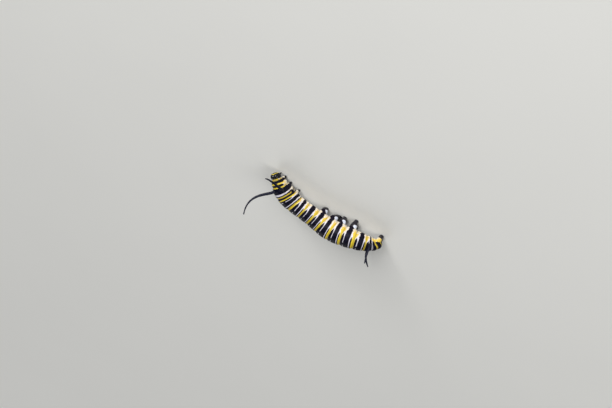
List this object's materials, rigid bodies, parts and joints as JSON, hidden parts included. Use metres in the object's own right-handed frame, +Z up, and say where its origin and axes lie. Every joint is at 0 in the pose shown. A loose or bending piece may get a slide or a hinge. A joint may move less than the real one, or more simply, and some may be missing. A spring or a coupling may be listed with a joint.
{
  "type": "monarch butterfly larva",
  "caption": "Life-size still model of a grown monarch larva, banded black, white and yellow, with slender front and rear filaments, standing on its prolegs.",
  "frame": {"origin": "bottom centre of the bounding box, on the floor plane that the feet stand on", "axes": "+X towards the head, along the longest extent; +Z up, towards the back; +Y to the larva's left"},
  "size_m": [0.0414, 0.0182, 0.0158],
  "materials": {
    "banded_skin": "soft satin skin in black, white and yellow bands",
    "head_capsule": "glossy black capsule with pale arches",
    "mouthparts": "glossy dark horn",
    "true_legs": "glossy black",
    "filaments": "satin black with a blue sheen"
  },
  "bodies": {
    "root": {"thorax_1": "banded_skin", "thorax_2": "banded_skin", "thorax_3": "banded_skin", "abdomen_1": "banded_skin", "abdomen_2": "banded_skin", "abdomen_3": "banded_skin", "abdomen_4": "banded_skin", "abdomen_5": "banded_skin", "abdomen_6": "banded_skin", "abdomen_7": "banded_skin", "abdomen_8": "banded_skin", "abdomen_9": "banded_skin", "abdomen_10": "banded_skin", "head": "head_capsule", "labrum": "mouthparts", "mandible_left": "mouthparts", "mandible_right": "mouthparts", "labium": "mouthparts", "antenna_left": "mouthparts", "antenna_right": "mouthparts", "leg_1_left": "true_legs", "leg_1_right": "true_legs", "leg_2_left": "true_legs", "leg_2_right": "true_legs", "leg_3_left": "true_legs", "leg_3_right": "true_legs", "proleg_3_left": "banded_skin", "proleg_3_right": "banded_skin", "proleg_4_left": "banded_skin", "proleg_4_right": "banded_skin", "proleg_5_left": "banded_skin", "proleg_5_right": "banded_skin", "proleg_6_left": "banded_skin", "proleg_6_right": "banded_skin", "anal_proleg_left": "banded_skin", "anal_proleg_right": "banded_skin", "front_filament_left": "filaments", "front_filament_right": "filaments", "rear_filament_left": "filaments", "rear_filament_right": "filaments"}
  },
  "joints": []
}
